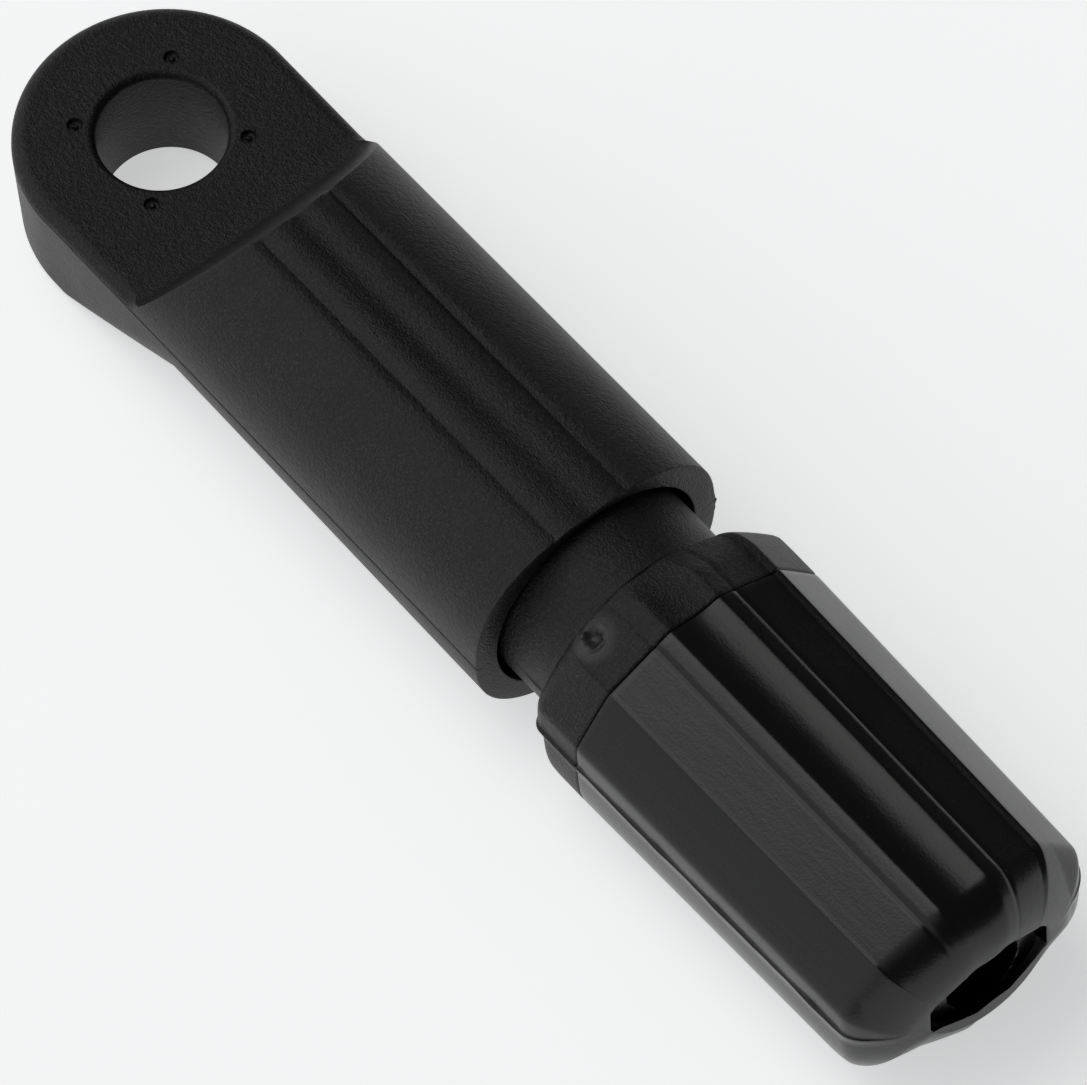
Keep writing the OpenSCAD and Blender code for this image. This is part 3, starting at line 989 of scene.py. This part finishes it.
class CORDLOCK_OT_jaws(bpy.types.Operator):
    """Gives the two jaws their grey nylon"""

    bl_idname = "cordlock.jaws"
    bl_label = "Jaws"

    def execute(self, context):
        material = jaw_plastic("jaw grey", context.scene.cord_lock.finish)
        for name in ("upper_jaw", "lower_jaw"):
            thing = frame["nodes"][name]
            thing.data.materials.clear()
            thing.data.materials.append(material)
        return {"FINISHED"}


# The stage

VIEW_TARGET = (0.023011, -0.00033, -0.000043)
FLOOR_GLOW = 0.62


def aimed(location, target, roll=0.0):
    """A matrix that puts a camera or a lamp at location, looking at target, turned by roll radians."""
    place = Vector(location)
    toward = (Vector(target) - place).to_track_quat("-Z", "Y").to_matrix().to_4x4()
    return Matrix.Translation(place) @ toward @ Matrix.Rotation(roll, 4, "Z")


def softbox(name, direction, distance, size, radiance, tint, target):
    """Adds an area lamp of the given radiance: its power is pi times the radiance times its area."""
    lamp = bpy.data.lights.new(name, "AREA")
    lamp.shape = "RECTANGLE"
    lamp.size, lamp.size_y = size
    lamp.energy = math.pi * radiance * size[0] * size[1]
    lamp.color = tint
    thing = bpy.data.objects.new(name, lamp)
    bpy.context.scene.collection.objects.link(thing)
    place = Vector(target) + Vector(direction).normalized() * distance
    thing.matrix_world = aimed(place, target)


def studio_world(strength_low, strength_high):
    """A studio whose walls are pale on one side and dark on the other, by direction in the world."""
    world = bpy.data.worlds.new("studio")
    bpy.context.scene.world = world
    tree = ShaderTree(world)
    ray = tree.add("ShaderNodeTexCoord", output="Generated")
    side = tree.add(
        "ShaderNodeVectorMath", {"operation": "DOT_PRODUCT"},
        {0: ray, 1: Vector((-0.6, -0.78, 0.1)).normalized()}, output="Value")
    share = tree.fade(side, 0.05, 0.85)
    colour = tree.mix(share, (0.93, 0.96, 1.0, 1.0), (0.98, 0.99, 1.0, 1.0))
    strength = share * (strength_high - strength_low) + strength_low
    glow = tree.add("ShaderNodeBackground", {}, {"Color": colour, "Strength": strength})
    tree.add("ShaderNodeOutputWorld", {}, {"Surface": glow})


def pale_floor(colour, height):
    """A large flat sheet of pale board that glows, as under a light tent."""
    line = np.linspace(-900.0, 900.0, 24)
    x, y = np.meshgrid(line, line, indexing="ij")
    points = np.stack([x, y, np.full_like(x, height)], axis=-1)
    rows, columns = x.shape
    index = np.arange(rows * columns).reshape(rows, columns)
    quads = np.stack([index[:-1, :-1], index[1:, :-1], index[1:, 1:], index[:-1, 1:]], axis=-1)
    mesh = bpy.data.meshes.new("floor")
    mesh.from_pydata((points * MM).reshape(-1, 3).tolist(), [], quads.reshape(-1, 4).tolist())
    thing = new_object("floor", mesh)
    material = bpy.data.materials.new("pale board")
    tree = ShaderTree(material)
    mottle = tree.noise(tree.object_place(), 0.02, detail=2.0)
    tone = tree.mix(mottle, rgba(colour), rgba(colour, 0.985))
    shader = tree.add(
        "ShaderNodeBsdfPrincipled", {},
        {"Base Color": tone, "Roughness": 0.7, "Emission Color": tone, "Emission Strength": FLOOR_GLOW})
    tree.add("ShaderNodeOutputMaterial", {}, {"Surface": shader})
    mesh.materials.append(material)


class CORDLOCK_OT_stage(bpy.types.Operator):
    """Sets the pale floor, the soft light and the camera"""

    bl_idname = "cordlock.stage"
    bl_label = "Stage"

    def execute(self, context):
        stage = context.scene.cord_lock.stage
        scene = context.scene
        scene.view_settings.view_transform = "Standard"
        scene.view_settings.look = "None"
        low = min(EYE_LOW[2], PLUG_LOW[2], GRIP_LOW[2])
        pale_floor(stage.floor_colour, low - 0.02)
        studio_world(0.08, 0.75)
        warm, middle = (1.0, 0.985, 0.96), (0.021, 0.0, 0.0)
        softbox("large softbox", (-0.45, -0.16, 0.88), 0.6, (0.42, 0.5), stage.softbox, warm, middle)
        azimuth, elevation = math.radians(stage.azimuth), math.radians(stage.elevation)
        back = Vector((math.sin(azimuth) * math.cos(elevation), -math.cos(azimuth) * math.cos(elevation),
                       math.sin(elevation)))
        target = Vector(VIEW_TARGET)
        lens = bpy.data.cameras.new("camera")
        lens.sensor_width = 36.0
        lens.lens = stage.lens
        lens.clip_start, lens.clip_end = 0.01, 20.0
        camera = bpy.data.objects.new("camera", lens)
        scene.collection.objects.link(camera)
        place = target + back * stage.distance
        camera.matrix_world = aimed(place, target, -math.radians(stage.roll))
        scene.camera = camera
        return {"FINISHED"}


class CORDLOCK_PT_panel(bpy.types.Panel):
    """Lists the cord lock's pieces"""

    bl_idname = "CORDLOCK_PT_panel"
    bl_label = "Cord lock"
    bl_space_type = "VIEW_3D"
    bl_region_type = "UI"
    bl_category = "Cord lock"

    def draw(self, context):
        for kind in OPERATORS:
            self.layout.operator(kind.bl_idname)
        settings = context.scene.cord_lock
        for group in ("finish", "eye", "plug", "grip", "stage"):
            box = self.layout.box()
            box.label(text=group.capitalize())
            values = getattr(settings, group)
            for name in values.__annotations__:
                box.prop(values, name)


OPERATORS = [CORDLOCK_OT_stage, CORDLOCK_OT_eye_body, CORDLOCK_OT_plug, CORDLOCK_OT_grip, CORDLOCK_OT_jaws]
CLASSES = [FinishSettings, EyeSettings, PlugSettings, GripSettings, StageSettings, CordLockSettings,
           *OPERATORS, CORDLOCK_PT_panel]


def register():
    for kind in CLASSES:
        bpy.utils.register_class(kind)
    bpy.types.Scene.cord_lock = PointerProperty(type=CordLockSettings)


def unregister():
    del bpy.types.Scene.cord_lock
    for kind in reversed(CLASSES):
        bpy.utils.unregister_class(kind)


def main():
    """Registers the add-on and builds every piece."""
    register()
    for kind in OPERATORS:
        group, name = kind.bl_idname.split(".")
        getattr(getattr(bpy.ops, group), name)()


if __name__ == "__main__":
    main()
